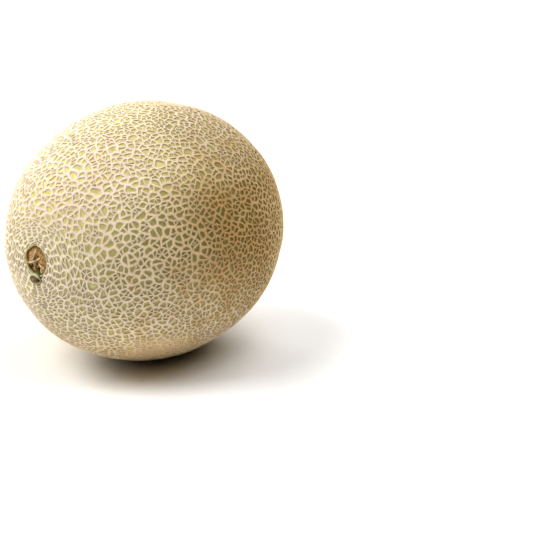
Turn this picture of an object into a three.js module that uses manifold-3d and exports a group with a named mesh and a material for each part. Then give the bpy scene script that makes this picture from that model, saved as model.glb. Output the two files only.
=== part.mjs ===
// A whole cantaloupe melon, lying on its side on the small flat spot under its belly.
// The fruit grew as one piece, so it is one solid: a ribbed oval body whose corky net stands
// up as sharp cords round sunken cells, with the stem scar at the -X end and the blossom scar
// at the +X end. Millimetres, +Z up, origin on the surface the fruit lies on, under its middle.

import * as THREE from 'three';
import { ConvexHull } from 'three/addons/math/ConvexHull.js';
import { mergeVertices } from 'three/addons/utils/BufferGeometryUtils.js';
import Module from 'manifold-3d';

// The body, measured over the tops of the cords.
const LENGTH = 172;            // stem end to blossom end, before the ends are dimpled
const DIAMETER = 150;
const RIB_COUNT = 10;
const RIB_GROOVE_DEPTH = 0.7;  // at the belly, fading out towards both ends
const FIRST_GROOVE = THREE.MathUtils.degToRad(20);  // its turn round the body, up from -Y
const FLAT_DEPTH = 1.7;        // how much the belly is flattened where it lies

// The net, drawn with cells about three times life size.
const CELL_COUNT = 590;        // between the rings round the two scars
const NET_HEIGHT = 1.3;        // cord top above cell floor
const CORD_HALF_WIDTH = 1.5;   // cord top to the foot of its slope
const LEAST_FLOOR_SHARE = 0.35;  // floor across cell, in the smallest cells
const SEED_SHAKE = 4.5;        // unevenness of the cells before they settle
const RING_SHAKE = 0.2;        // the same in the rings round the scars, in cells
const SETTLING_ROUNDS = 2;     // more rounds make the cells more alike

// The nearly bare patch of skin that lay on the ground while the fruit grew.
const GROUND_PATCH = new THREE.Vector3(-0.42, -0.53, -0.74).normalize();
const GROUND_PATCH_REACH = 0.45;   // radians from its middle to the full net
const GROUND_NET_SHARE = 0.3;      // of the net's height left on the patch

// The stem end: a round dish with corky spokes, and a stub of the stem on its lower edge.
const STEM = {
  pole: -1,
  raise: 3.3,                  // scar centre above the body's long axis
  dimpleDepth: 1.6,
  dimpleRadius: 22,
  rings: [[6.2, 10], [11, 10], [15.4, 12], [20.4, 15]],   // radius and cells of each ring
  netRadius: 23.5,             // where the open net begins
};
const DISH_RADIUS = 8.6;
const DISH_FLOOR_RADIUS = 7;
const DISH_DEPTH = 2.4;
const DISH_MIDDLE_RISE = 0.3;
const LIP_WIDTH = 0.9;
const LIP_HEIGHT = 0.4;
const SPOKE_TURNS = [25, 95, 150, 215, 300];   // degrees round the dish, from the top
const SPOKE_WIDTH = 1.3;
const SPOKE_HEIGHT = 1.5;
const STUB_RADIUS = 3.4;
const STUB_HEIGHT = 1.9;
const STUB_ROUNDING = 0.6;
const STUB_DROP = 11.3;        // stub centre below scar centre
const STUB_HOLE_RADIUS = 1.2;
const STUB_HOLE_DEPTH = 1.4;

// The blossom end: a low corky ring with a nub in the middle.
const BLOSSOM = {
  pole: 1,
  raise: 0,
  dimpleDepth: 0.8,
  dimpleRadius: 16,
  rings: [[5, 8], [10.6, 8], [16, 12]],
  netRadius: 19,
};
const CORK_RING_RADIUS = 7.6;
const CORK_RING_WIDTH = 1.8;
const CORK_RING_HEIGHT = 0.3;
const NUB_RADIUS = 2;
const NUB_HEIGHT = 0.6;

const ROOT_DEPTH = 4;          // how far joined details reach down into the body
const ROOT_SPREAD = 0.6;       // and how much wider they are down there

const ENDS = [STEM, BLOSSOM];
const HALF_LENGTH = LENGTH / 2;
const HALF_WIDTH = DIAMETER / 2;
const CENTRE_HEIGHT = HALF_WIDTH - FLAT_DEPTH;
const GOLDEN_ANGLE = Math.PI * (3 - Math.sqrt(5));

// A repeatable stream of numbers from -1 to 1.
function seededRandom(seed) {
  let state = seed;
  return () => {
    state = (state * 1664525 + 1013904223) % 4294967296;
    return state / 2147483648 - 1;
  };
}

const random = seededRandom(7);

// Distance along the skin from the middle of an end's scar to where a direction meets it.
function distanceFrom(end, direction) {
  const scar = new THREE.Vector3(end.pole * HALF_LENGTH, 0, end.raise);
  return direction.angleTo(scar) * HALF_LENGTH;
}

// How far the skin lies inside the plain oval: the grooves between ribs and the end dimples.
function hollow(direction) {
  const turn = Math.atan2(direction.z, -direction.y);
  const groove = (0.5 + 0.5 * Math.cos(RIB_COUNT * (turn - FIRST_GROOVE))) ** 2;
  const fade = 1 - direction.x * direction.x;
  return ENDS.reduce((depth, end) => {
    const reach = distanceFrom(end, direction) / end.dimpleRadius;
    return depth + end.dimpleDepth * Math.exp(-reach * reach);
  }, RIB_GROOVE_DEPTH * groove * fade);
}

// The point of the body in a direction from its centre, a depth below the cord tops.
function skinPoint(direction, depth) {
  const { x, y, z } = direction;
  const oval = 1 / Math.hypot(x / HALF_LENGTH, y / HALF_WIDTH, z / HALF_WIDTH);
  const radius = oval - hollow(direction) - depth;
  return direction.clone().multiplyScalar(radius).setZ(z * radius + CENTRE_HEIGHT);
}

function netHeight(direction) {
  const away = THREE.MathUtils.smoothstep(
    direction.angleTo(GROUND_PATCH), GROUND_PATCH_REACH / 2, GROUND_PATCH_REACH);
  return NET_HEIGHT * THREE.MathUtils.lerp(GROUND_NET_SHARE, 1, away);
}

// Seeds of the rings of cells round a scar. They are narrow across the ring and long along it.
function ringSeeds(end) {
  const seeds = [new THREE.Vector3(end.pole * HALF_LENGTH, 0, end.raise).normalize()];
  for (const [radius, cells] of end.rings) {
    for (let i = 0; i < cells; i++) {
      const turn = (i + RING_SHAKE * random()) * 2 * Math.PI / cells;
      const y = radius * Math.cos(turn);
      const z = radius * Math.sin(turn) + end.raise;
      seeds.push(new THREE.Vector3(end.pole * HALF_LENGTH, y, z).normalize());
    }
  }
  return seeds;
}

// Seeds of the net between the rings: a spiral from pole to pole, shaken a little.
function openSeeds() {
  const seeds = [];
  for (let i = 0; i < CELL_COUNT; i++) {
    const along = 2 * (i + 0.5) / CELL_COUNT - 1;
    const across = Math.sqrt(1 - along * along);
    const turn = i * GOLDEN_ANGLE;
    const seed = new THREE.Vector3(along, across * Math.cos(turn), across * Math.sin(turn));
    const shake = new THREE.Vector3(random(), random(), random());
    seed.addScaledVector(shake, SEED_SHAKE / HALF_WIDTH).normalize();
    const clear = ENDS.every((end) => distanceFrom(end, seed) > end.netRadius);
    if (clear) seeds.push(seed);
  }
  return seeds;
}

// The cells that a set of seeds divides the body into. corners holds the direction of every
// point where cords meet; a cell lists its corners anticlockwise, seen from outside.
function divide(seeds) {
  const hull = new ConvexHull().setFromPoints(seeds);
  const corners = hull.faces.map((face) => face.normal.clone());
  const cornerOf = new Map(hull.faces.map((face, i) => [face, i]));
  const edgeInto = new Map();
  for (const face of hull.faces) {
    for (let i = 0; i < 3; i++) edgeInto.set(face.getEdge(i).head().point, face.getEdge(i));
  }
  const cells = seeds.map((seed) => {
    const cell = [];
    const first = edgeInto.get(seed);
    let edge = first;
    do {
      cell.unshift(cornerOf.get(edge.face));
      edge = edge.next.twin;
    } while (edge !== first);
    return cell;
  });
  return { corners, cells };
}

function middleOf(directions) {
  return directions.reduce((sum, d) => sum.add(d), new THREE.Vector3()).normalize();
}

// The whole net, its open cells evened out by moving each seed to the middle of its cell.
function makeNet() {
  const fixed = ENDS.flatMap(ringSeeds);
  let open = openSeeds();
  for (let round = 0; round < SETTLING_ROUNDS; round++) {
    const { corners, cells } = divide([...fixed, ...open]);
    open = cells.slice(fixed.length).map((cell) => middleOf(cell.map((c) => corners[c])));
  }
  return divide([...fixed, ...open]);
}

// The netted body as one closed surface. Each cell is a floor inside a sloping band that
// climbs to the cord tops, which are the lines between cells.
function nettedBody() {
  const { corners, cells } = makeNet();
  const positions = [];
  const triangles = [];
  const addVertex = (point) => positions.push(...point) / 3 - 1;
  for (const corner of corners) addVertex(skinPoint(corner, 0));
  for (const cell of cells) {
    const rim = cell.map((corner) => corners[corner]);
    const middle = middleOf(rim);
    const reach = rim.reduce((sum, d) => sum + d.angleTo(middle), 0) * HALF_WIDTH / rim.length;
    const floorShare = Math.max(LEAST_FLOOR_SHARE, 1 - CORD_HALF_WIDTH / reach);
    const floor = rim.map((d) => {
      const inset = middle.clone().lerp(d, floorShare).normalize();
      return addVertex(skinPoint(inset, netHeight(inset)));
    });
    cell.forEach((corner, i) => {
      const next = (i + 1) % cell.length;
      triangles.push(floor[i], corner, cell[next]);
      triangles.push(floor[i], cell[next], floor[next]);
      if (i > 0 && next > 0) triangles.push(floor[0], floor[i], floor[next]);
    });
  }
  return new THREE.BufferGeometry()
    .setAttribute('position', new THREE.Float32BufferAttribute(positions, 3))
    .setIndex(triangles);
}

// A turned shape with a profile of [radius, height] pairs, standing on an end of the body
// with its height pointing outwards. Height 0 is the bottom of the end's dimple.
function turnedOn(end, profile, segments, up = 0) {
  const points = profile.map(([radius, height]) => new THREE.Vector2(radius, height));
  return new THREE.LatheGeometry(points, segments)
    .rotateZ(-end.pole * Math.PI / 2)
    .translate(end.pole * (HALF_LENGTH - end.dimpleDepth), 0, CENTRE_HEIGHT + end.raise + up);
}

// A flat-topped collar standing on an end of the body, its outer side sloping.
function collar(end, outer, width, height, segments) {
  const inner = outer - width;
  return turnedOn(end, [
    [inner, -ROOT_DEPTH],
    [outer + ROOT_SPREAD, -ROOT_DEPTH],
    [outer, height],
    [inner, height],
    [inner, -ROOT_DEPTH],
  ], segments);
}

// The hollow of the stem scar, to be cut out of the body.
function dish() {
  return turnedOn(STEM, [
    [0, DISH_MIDDLE_RISE - DISH_DEPTH],
    [DISH_FLOOR_RADIUS, -DISH_DEPTH],
    [DISH_RADIUS, LIP_HEIGHT],
    [DISH_RADIUS, ROOT_DEPTH],
    [0, ROOT_DEPTH],
  ], 30);
}

// One corky spoke of the stem scar: a ridge from the middle of the dish to its wall.
function spoke(degrees) {
  const profile = new THREE.Shape([
    new THREE.Vector2(-SPOKE_WIDTH / 2, -ROOT_DEPTH),
    new THREE.Vector2(SPOKE_WIDTH / 2, -ROOT_DEPTH),
    new THREE.Vector2(SPOKE_WIDTH / 4, SPOKE_HEIGHT - DISH_DEPTH),
    new THREE.Vector2(-SPOKE_WIDTH / 4, SPOKE_HEIGHT - DISH_DEPTH),
  ]);
  return new THREE.ExtrudeGeometry(profile, { depth: DISH_RADIUS, bevelEnabled: false })
    .rotateZ(Math.PI / 2)
    .rotateX(THREE.MathUtils.degToRad(degrees))
    .translate(STEM.dimpleDepth - HALF_LENGTH, 0, CENTRE_HEIGHT + STEM.raise);
}

// The stub of the stem, a short peg with a hole in its top.
function stub() {
  return turnedOn(STEM, [
    [0, -ROOT_DEPTH],
    [STUB_RADIUS + ROOT_SPREAD, -ROOT_DEPTH],
    [STUB_RADIUS, STUB_HEIGHT - STUB_ROUNDING],
    [STUB_RADIUS - STUB_ROUNDING, STUB_HEIGHT],
    [STUB_HOLE_RADIUS + STUB_ROUNDING, STUB_HEIGHT],
    [STUB_HOLE_RADIUS, STUB_HEIGHT - STUB_HOLE_DEPTH],
    [0, STUB_HEIGHT - STUB_HOLE_DEPTH],
  ], 16, -STUB_DROP);
}

// The nub left by the flower, in the middle of the blossom scar.
function nub() {
  return turnedOn(BLOSSOM, [
    [0, -ROOT_DEPTH],
    [NUB_RADIUS + ROOT_SPREAD, -ROOT_DEPTH],
    [NUB_RADIUS, 0],
    [NUB_RADIUS / 2, NUB_HEIGHT],
    [0, NUB_HEIGHT],
  ], 12);
}

// All that lies below the resting plane, to be cut off the body.
function underside() {
  return new THREE.BoxGeometry(LENGTH, DIAMETER, DIAMETER).translate(0, 0, -DIAMETER / 2);
}

const wasm = await Module();
wasm.setup();

// A closed surface as a solid that can be joined and cut. Triangles that are folded to nothing
// on the axis of a turned shape are left out.
function solidOf(surface) {
  surface.deleteAttribute('normal');
  surface.deleteAttribute('uv');
  const merged = mergeVertices(surface);
  const triangles = [];
  for (let i = 0; i < merged.index.count; i += 3) {
    const [a, b, c] = merged.index.array.slice(i, i + 3);
    if (a !== b && b !== c && c !== a) triangles.push(a, b, c);
  }
  return new wasm.Manifold(new wasm.Mesh({
    numProp: 3,
    vertProperties: merged.attributes.position.array,
    triVerts: new Uint32Array(triangles),
  }));
}

function surfaceOf(solid) {
  const mesh = solid.getMesh();
  return new THREE.BufferGeometry()
    .setAttribute('position', new THREE.BufferAttribute(mesh.vertProperties, 3))
    .setIndex(new THREE.BufferAttribute(mesh.triVerts, 1));
}

function melonSolid() {
  const lip = collar(STEM, DISH_RADIUS + LIP_WIDTH, LIP_WIDTH + 1, LIP_HEIGHT, 30);
  const corkRing = collar(BLOSSOM, CORK_RING_RADIUS, CORK_RING_WIDTH, CORK_RING_HEIGHT, 24);
  const body = [nettedBody(), lip, stub(), corkRing, nub()].map(solidOf)
    .reduce((joined, detail) => joined.add(detail));
  const dished = body.subtract(solidOf(dish()));
  const spoked = SPOKE_TURNS.map((degrees) => solidOf(spoke(degrees)))
    .reduce((joined, detail) => joined.add(detail), dished);
  return spoked.subtract(solidOf(underside()));
}

const rind = new THREE.MeshStandardMaterial({
  color: 0xcdbb8a, roughness: 0.75, metalness: 0, flatShading: true,
});

const melon = new THREE.Mesh(surfaceOf(melonSolid()), rind);
melon.name = 'melon';

const cantaloupe = new THREE.Group();
cantaloupe.add(melon);

export default cantaloupe;
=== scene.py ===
"""A whole cantaloupe melon on a pale floor: the fine corky net, the skin between its cords,
the stem scar with its stub, and the blossom scar. Metres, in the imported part's own frame."""

import math

import bmesh
import bpy
import numpy as np
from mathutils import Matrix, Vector, noise


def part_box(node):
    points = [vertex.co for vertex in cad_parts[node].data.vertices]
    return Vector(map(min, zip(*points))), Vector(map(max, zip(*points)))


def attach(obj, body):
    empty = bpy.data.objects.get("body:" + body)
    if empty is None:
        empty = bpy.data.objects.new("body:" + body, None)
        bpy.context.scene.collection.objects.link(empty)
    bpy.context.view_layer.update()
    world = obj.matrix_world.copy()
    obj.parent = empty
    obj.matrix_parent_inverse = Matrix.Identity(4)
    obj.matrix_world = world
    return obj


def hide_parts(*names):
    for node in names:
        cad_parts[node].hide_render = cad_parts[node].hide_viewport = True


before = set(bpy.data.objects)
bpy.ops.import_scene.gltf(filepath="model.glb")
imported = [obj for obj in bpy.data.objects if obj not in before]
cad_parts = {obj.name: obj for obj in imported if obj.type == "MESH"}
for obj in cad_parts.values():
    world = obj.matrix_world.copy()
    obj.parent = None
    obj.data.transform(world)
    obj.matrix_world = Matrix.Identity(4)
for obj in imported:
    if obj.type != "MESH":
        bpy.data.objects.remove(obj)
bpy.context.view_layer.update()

MM = 0.001
TINY = 1e-9                   # keeps divisors from being 0
NOISE_STEP = np.array([17.3, 5.1, 9.7])     # from the noise of one seed to that of the next
LOW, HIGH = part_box("melon")

# The body, as in the part: an oval with shallow ribs, dimpled ends and a flat under its belly.
HALF_WIDTH = (HIGH[1] - LOW[1]) / 2
LENGTH_TO_WIDTH = 172 / 150
HALF_LENGTH = HALF_WIDTH * LENGTH_TO_WIDTH
CENTRE = Vector((0, 0, HIGH[2] - HALF_WIDTH))
RIB_COUNT = 10
RIB_GROOVE_DEPTH = 0.7 * MM
FIRST_GROOVE = math.radians(20)
LUMP_HEIGHT = 0.35 * MM
LUMP_PITCH = 55               # noise waves per metre
STEM_POLE = np.array([-1, 0, 0.0])
NEAR_STEM_POLE = np.array([-1, 0.001, 0.002])  # never quite a cell's middle
BLOSSOM_POLE = np.array([1, 0, 0.0])
SCAR_RAISE = 3.3 * MM         # stem scar's middle above the long axis
STEM_DIMPLE = (1.6 * MM, 22 * MM)   # depth and radius
BLOSSOM_DIMPLE = (0.8 * MM, 16 * MM)

# The net. The skin cracks into large cells, and cracks again across them, ever finer, so that
# each crack's cord is thinner than the ones it ends on.
LARGE_CELLS = 1900
SEED_SHAKE = 0.02             # radians
SETTLING_ROUNDS = 1
CELL_AREA = 16 * MM * MM      # a cell of about this size is left whole
LARGEST_CELL = 32 * MM * MM
CELL_SPREAD = 0.5             # of the logarithm of a cell's size
EVENNESS_AT_STEM = 0.6        # how much more alike the cells' sizes are there
CUT_TILT = 0.35               # radians
CUT_SHAKE = 0.13              # of a cell's length
LEAST_CUT = 0.2               # of a side, which a cut leaves at both of its ends
CORDS = (1.22 * MM, 1.04 * MM, 0.85 * MM, 0.66 * MM)  # half widths, coarse to fine
CORNER_SHAKE = 0.16 * MM
SHAKE_LIMIT = 0.15            # of a corner's shortest side
UNFOLDING_ROUNDS = 4
LEAST_TURN = 0.01 * MM * MM
SPUR_SHARE = 0.22             # of the finer cords, which stop short of the next one
LEAST_SPUR = 2.6 * MM
SPUR_GAP = 1.0 * MM
SPUR_TIP = 0.45 * MM
GAP_THICKNESS = 0.1           # of a whole cord's
GAP_CREST = -0.5              # where a gap lies on net_mesh's scale
BENT_LENGTH = 2.2 * MM        # a cord longer than this bends once on its way
BEND = 0.12                   # of its length
CORD_UNEVENNESS = 0.42
CORD_UNEVEN_PITCH = 230       # noise waves per metre
FINENESS_AT_STEM = 0.22       # how much thinner the cords are there
BREADTH_LOW_DOWN = 0.5        # how much broader they are low on the near side
FLATNESS_LOW_DOWN = 0.35      # and how much flatter
# Each ring of cells round a scar: radians to it, before the scars are opened out, and cells.
RINGS = ((0.06, 9), (0.108, 15), (0.156, 22))
RING_SHAKE = 0.003            # radians
RING_TURN_SHAKE = 0.2         # of the step from one cell of a ring to the next
BEYOND_RINGS = 0.2            # radians from a pole to the other cells
OPEN_CELL = 1.5 * MM          # a cell of this radius shows its skin's full colour
SLIT_FOOT = 0.35              # how far below 0 a slit's rim lies on that scale
CORNER_ROUNDING = 0.5
LEAST_SLANT = 0.4             # limits how far a sharp corner is drawn in
LEAST_OPENING = 0.25          # of a cell's reach, where cords nearly close it
CORD_HEIGHT = 0.62 * MM
HEIGHT_UNEVENNESS = 0.25
HEIGHT_UNEVEN_PITCH = 220     # noise waves per metre
CELL_BULGE = 0.05 * MM
STEM_CROWDING = 1.0           # extra cells near the stem scar
STEM_STRETCH = 3.0            # how much cells are drawn out round it
BLOSSOM_CROWDING = 0.8
CROWDING_REACH = 0.3          # radians
STEM_OPENING = 0.103          # radians: how wide the net is drawn open round the scar
BLOSSOM_OPENING = 0.072
RAISE_FADE = 0.45             # radians over which the scar's raise fades from the net

# The bare patch that lay on the ground while the fruit grew.
GROUND_PATCH = (-0.42, -0.53, -0.74)
GROUND_PATCH_REACH = (0.16, 0.34)  # radians
PATCH_UNEVENNESS = 0.07
PATCH_UNEVEN_PITCH = 7        # noise waves per radian
GROUND_NET_SHARE = 0.45

# Colours run over the fruit in soft spots: the middle of each, and the radians over which it
# fades. The side that ripened first, which faces the lights, has yellower skin and paler cork;
# the far side is duller and darker. That is partly real ripening, partly painted light and shade.
RIPE_AND_LIT_SIDE = np.array([-0.84, 0.26, 0.47])
RIPE_AND_LIT_SPAN = (-0.25, 0.9)      # cosines
SPOTS = {
    "yellow": ((-0.89, 0.07, 0.45), (0.05, 0.36)),
    # browner, darker skin and cork on the right, away from the lights: partly real russet, partly
    # painted shade and a painted warm reflection
    "russet_and_shade": ((0.1, -0.96, 0.26), (0.1, 1.05)),
    "rosy": ((-0.75, -0.05, 0.66), (0.3, 0.75)),    # pinker cords over duller skin
    "deep_green_and_shade": ((-0.66, -0.70, 0.22), (0.15, 0.75)),   # the greenest skin and darkest cell edges, where the light grazes: partly real colour, partly painted shade
    "low": ((-0.35, -0.75, -0.65), (0.3, 0.95)),    # broad, flat cords low on the near side
}
PALE_SPOTS = (                # paler skin and cork: low down and towards the stem, as painted fill light from the floor, and high up
    SPOTS["low"],
    ((-0.92, -0.22, -0.32), (0.15, 0.55)),
    ((0.26, -0.5, 0.82), (0.15, 0.6)),
)
CROWN_REACH = 20 * MM         # of the whiter cords round the stem scar
SPOT_WANDER = 0.12            # radians that the spots' edges wander
SPOT_WANDER_PITCH = 2.2       # noise waves per radian

# The stem scar, as in the part: a dish of torn cork with pale ridges, where the stem came off.
# Places are millimetres from its middle, towards +Y and up. Widths and heights follow them.
DISH_EDGE = 9.2 * MM          # where the net ends
DISH_EDGE_MARGIN = 0.1 * MM   # leaves the edge itself out
RIND_UNDER_DISH = 4.0 * MM    # depth of the rind below the cord tops there
SHEET_START = 0.2             # mm to the first ring of a scar's sheet
DISH_RADIUS = 9.6             # mm
DISH_RINGS, DISH_SPOKES = 56, 132
DISH_FLOOR = -1.05            # mm
DISH_RIM_GROOVE = (8.0, 0.4, -0.6)  # where, how wide, how deep
DISH_LIP = (8.8, 0.45, 1.25)
DISH_RIM_DROP = 2.0           # mm that the rim sinks in the millimetre past the lip
LIP_COLOUR = (8.3, 8.7)       # mm from the middle: where torn cork turns to skin
CRUMPLE = 0.45                # mm that the forms are pushed about
CRUMPLE_PITCH = 260           # noise waves per metre, as below
CREASE_PITCH = 420
CREASE_SHARPNESS = 4
CREASE_DEPTH = 0.5            # mm
# how dark the creases are painted, as shade in them
CREASE_DARKNESS = 0.7
DISH_ROUGHNESS = ((0.35, 700, 31), (0.2, 1600, 32))  # layers: mm, waves per metre and seed
RIDGES = (
    ((-0.3, 6.0), (2.9, 0.3), 0.42, 1.1),
    ((2.9, 0.3), (2.0, -1.1), 0.5, 1.2),
    ((-3.4, 2.8), (0.3, -0.4), 0.42, 1.1),
    ((0.3, -0.4), (2.0, -1.1), 0.5, 1.1),
    ((2.0, -1.1), (1.5, -4.4), 0.45, 1.2),
    ((-2.4, -2.0), (-6.6, -3.7), 0.4, 0.9),
    ((-3.2, -5.0), (-4.0, -7.2), 0.5, 0.8),
    ((2.0, -1.1), (6.9, -2.6), 0.45, 0.9),
)
CORK_LUMPS = (
    ((5.0, 1.9), 1.9, 1.0),
    ((2.4, 5.0), 1.7, 1.0),
    ((-2.3, 4.3), 1.5, 0.9),
    ((-4.6, 1.5), 1.6, 0.9),
    ((-3.8, -1.4), 1.2, 0.5),
    ((-4.9, -4.6), 1.5, 0.8),
)
# Hollows in the cork, painted dark as shade in them.
DARK_HOLLOWS = (
    ((-1.2, -5.6), 1.7, -1.5),
    ((4.6, -4.4), 1.6, -1.4),
    ((0.2, -2.4), 0.8, -0.8),
    ((-0.9, 1.9), 0.8, -0.6),
)

# The stub of a stalk below the dish, in the same millimetres. Its shares are of its radius.
STUB_PLACE = (-0.2, -10.6)
STUB_RADIUS = 3.5
STUB_HEIGHT = 1.5
STUB_TILT = np.array([0.2, 0.14])   # how its top rises towards +Y and up
STUB_LEAN = np.array([0.12, -0.1])  # how it leans as it rises
STUB_ROOT = -1.5              # how far it is sunk in the skin
RIND_UNDER_STUB = 1.8 * MM    # depth of the rind below the cord tops there
STUB_TOP = 0.8                # share where its rounded rim begins
STUB_SHOULDER = 0.62          # of its height, where the rim meets the wall
STUB_TOP_RINGS = (0.15, 0.78, 12)  # shares of the first and last rings, and how many
STUB_RIM_RINGS = (0.15, 1.0, 6)  # the same, in quarter turns over the rim
STUB_WALL_RINGS = (1.01, 1.25, 8)
STUB_SPOKES = 64
STUB_BOWL = (0.5, 0.8, 0.5)   # the shares where it begins and ends, and its depth
STUB_FOOT = (1.0, 1.2)        # shares over which the wall goes into the skin
# The hole's place, width and depth; it is painted near black, as shade.
STUB_HOLE = ((-1.9, -0.5), 1.1, -1.8)
STUB_PALE_RIM = (0.92, 0.18)  # share where it is palest, and how wide it is pale
STUB_PALE_SIDE = (-0.9, 0.1)  # mm of tilt between its low, dull side and its pale one, which faces the lights: partly painted highlight
# shares over which its foot is painted dark green, as shade where it goes into the skin
STUB_FOOT_COLOUR = (0.95, 1.15)
STUB_ROUGHNESS = ((0.22, 420, 41), (0.1, 1500, 42))

# The blossom scar: a low ring of cork round a small nub. Millimetres.
BLOSSOM_RADIUS = 7.4
BLOSSOM_EDGE = 6.7 * MM       # where the net ends
BLOSSOM_RINGS, BLOSSOM_SPOKES = 34, 96
BLOSSOM_FLOOR = -0.75
BLOSSOM_RING = (5.6, 1.1, 0.85)  # radius, width and height over the floor
BLOSSOM_NUB = (1.5, 1.2)      # width and height
BLOSSOM_CRUMPLE, BLOSSOM_CRUMPLE_PITCH = 0.5, 200
BLOSSOM_CRACKS = 11
CRACK_WANDER, CRACK_WANDER_PITCH = 2.5, 150
CRACK_SHARPNESS = 6
CRACK_DEPTH = 0.3
CRACK_END = 7.0               # from the middle, where the cracks have run out
BLOSSOM_RIM = 0.9             # how wide its sunk rim is
BLOSSOM_RIM_DROP = 1.2
BLOSSOM_ROUGHNESS = ((0.2, 600, 54), (0.1, 1500, 55))
RING_PALENESS = 0.6
RING_CORK = (0.35, 0.4)       # cork colour everywhere, and how much more on the ring

# The view: the melon seen from its stem end's right, a little from above.
IMAGE_SIZE = 550              # pixels
MELON_PIXEL = (146.8, 227.2)  # the melon's middle
PIXEL = 0.579 * MM            # size of a pixel at the melon
VIEW_AZIMUTH = math.radians(-43.8)
VIEW_ELEVATION = math.radians(18.4)
CAMERA_DISTANCE = 1.1
CAMERA_REACH = (0.01, 100)    # the nearest and the farthest that it sees
SENSOR_WIDTH = 36             # mm
DISPLAY_GAMMA = 0.85

# The suns: degrees from the camera's side towards the picture's right, degrees up, strength,
# and degrees across.
SUNS = {
    "key": (-80, 55, 1.8, 35),
    "left": (-105, 30, 0.95, 45),
    "back_left": (-150, 12, 2.6, 35),
    "top": (0, 90, 0.6, 60),
    "right": (90, 64, 1.9, 50),
}
FLOOR_SIZE = 40
FLOOR_SHADE = {"Base Color": (0.93, 0.93, 0.93, 1), "Roughness": 1, "Specular IOR Level": 0}

# Colours are display values, 0 to 255. A marbled colour is a noise and the span of it between
# two colours. In a list of tints, each is laid over the ones before it: the mask or noise that
# shows it, the span of that over which it comes in (None: the mask itself is its share), its
# greatest share, and its colour.
RIND_NOISES = (               # scale, detail and roughness
    ("broad", 22, 2, 0.55),
    ("middle", 90, 3, 0.55),
    ("fine", 900, 4, 0.55),
    ("grain", 3500, 3, 0.55),
)
# Olive and green skin on the side away from the lights, bright skin on the side towards them:
# partly real ripening, partly painted light and shade.
OLIVE_SKIN = ("broad", (0.35, 0.65), (158, 147, 46), (144, 149, 58))
GREEN_SKIN = ("broad", (0.35, 0.65), (97, 93, 30), (85, 94, 38))
BRIGHT_SKIN = ("broad", (0.35, 0.65), (222, 218, 146), (208, 215, 164))
DEEP_SHADE_HOLD = 0.36              # how much the greenest, partly shade-painted skin holds back the ripe, partly light-painted colours
# Over the skin, the pale tint is partly painted light, and the russet tint partly painted shade.
SKIN_TINTS = (
    ("pale", None, 0.8, (212, 206, 158)),
    ("rosy", None, 0.75, (204, 199, 128)),
    ("tone", (0, 2), 0.4, (222, 222, 170)),
    ("tone", (0, -2), 0.5, (112, 108, 48)),
    ("yellow", None, 0.55, (238, 224, 96)),
    ("middle", (0.5, 0.7), 0.4, (146, 144, 88)),
    ("russet_and_shade", None, 0.55, (132, 98, 36)),
    ("crown", None, 0.75, (188, 186, 120)),
)
# Painted shade: the skin darkens from a cell's middle to its edge at the foot of the cords, less
# on the ripe side and in the pale spots.
EDGE_SPAN = (-0.75, 0.1)      # of the net's mask, from a cell's middle to its shaded edge
OLIVE_EDGE, GREEN_EDGE, RIPE_AND_LIT_EDGE = (116, 97, 20), (64, 56, 8), (228, 214, 132)
EDGE_TINTS = (
    ("pale", None, 0.8, (188, 172, 112)),
    ("crown", None, 0.75, (150, 136, 76)),
)
PATCH_TINTS = (("patch", (0.02, 0.3), 0.7, (222, 206, 104)),)
PATCH_TAN = ("middle", (0.4, 0.6), (214, 178, 120), (222, 198, 140))
PATCH_CORE = (0.3, 0.9)       # of its mask, where the skin turns tan
CORK = ((228, 203, 155), (243, 225, 201))  # where unripe and where ripe: partly painted shade and painted light
# Over the cork, the deep, pale and rusty tints are partly painted light and shade, and the brown
# one lies on the side away from the lights.
CORK_TINTS = (
    ("deep_green_and_shade", None, 0.5, (238, 215, 178)),
    ("broad", (0.45, 0.7), 0.35, (232, 208, 170)),
    ("pale", None, 0.7, (229, 213, 195)),
    ("rusty_and_shaded", None, 1, (172, 134, 72)),
    ("brown", None, 1, (204, 158, 98)),
    ("fine", (0.45, 0.7), 0.4, (214, 190, 158)),
    ("crown", None, 0.6, (246, 234, 216)),
)
# Spans of the broad and the middle noise, each with the shares at its ends.
RUST_AND_SHADE_SPAN = (0.35, 0.6, 0.4, 0.8)
BROWNING = (0.48, 0.64, 0, 0.6)
# Painted shade on the cords' flanks and a painted highlight along their crests, each duller on
# the side away from the lights; the flanks are painted lighter low down.
FLANK = ((156, 126, 56), (228, 208, 148))
FLANK_TINTS = (("low", None, 0.3, (214, 190, 124)),)
FLANK_SPAN = (0.1, 0.6)       # of the net's mask, from a cord's flank to its top
CREST = ((240, 216, 172), (255, 245, 228))
CREST_TINTS = (("russet_and_shade", None, 1, (204, 166, 108)),)
CREST_SPAN = (0.6, 0.95, 0, 0.5)
LAST_CORK_TINTS = (
    ("rosy", None, 0.6, (243, 219, 201)),
    ("patch", None, 0.6, (232, 202, 160)),
)
RAGGEDNESS = 0.8              # how far the cords' edges wander, by the fine noise
LOW_SPREAD = 0.15             # how much further the cords spread low down
CORD_SPAN = (-0.05, 0.3)      # of the ragged net, from skin to cork
DISH_TINTS = (("dish", (0.02, 0.3), 1, (84, 70, 26)),)
SKIN_ROUGHNESS, CORK_ROUGHER = 0.5, 0.3
RIND_GLOSS = 0.35
ROUND_TOP = (0, 0.7, 0, 5)    # how the bump rounds off the cords
RIND_BUMP = (0.14 * MM, 0.9)  # distance and strength

SCAR_NOISES = (("middle", 500, 4, 0.6), ("fine", 1800, 4, 0.65))
SCAR_BASE = ("middle", (0.35, 0.65), (150, 116, 62), (196, 166, 110))
SCAR_LUMPS = ("middle", (0.4, 0.62), (166, 110, 64), (222, 176, 130))
LUMPS_SHOWN = (0.25, 0.7)     # of the cork's mask
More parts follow.
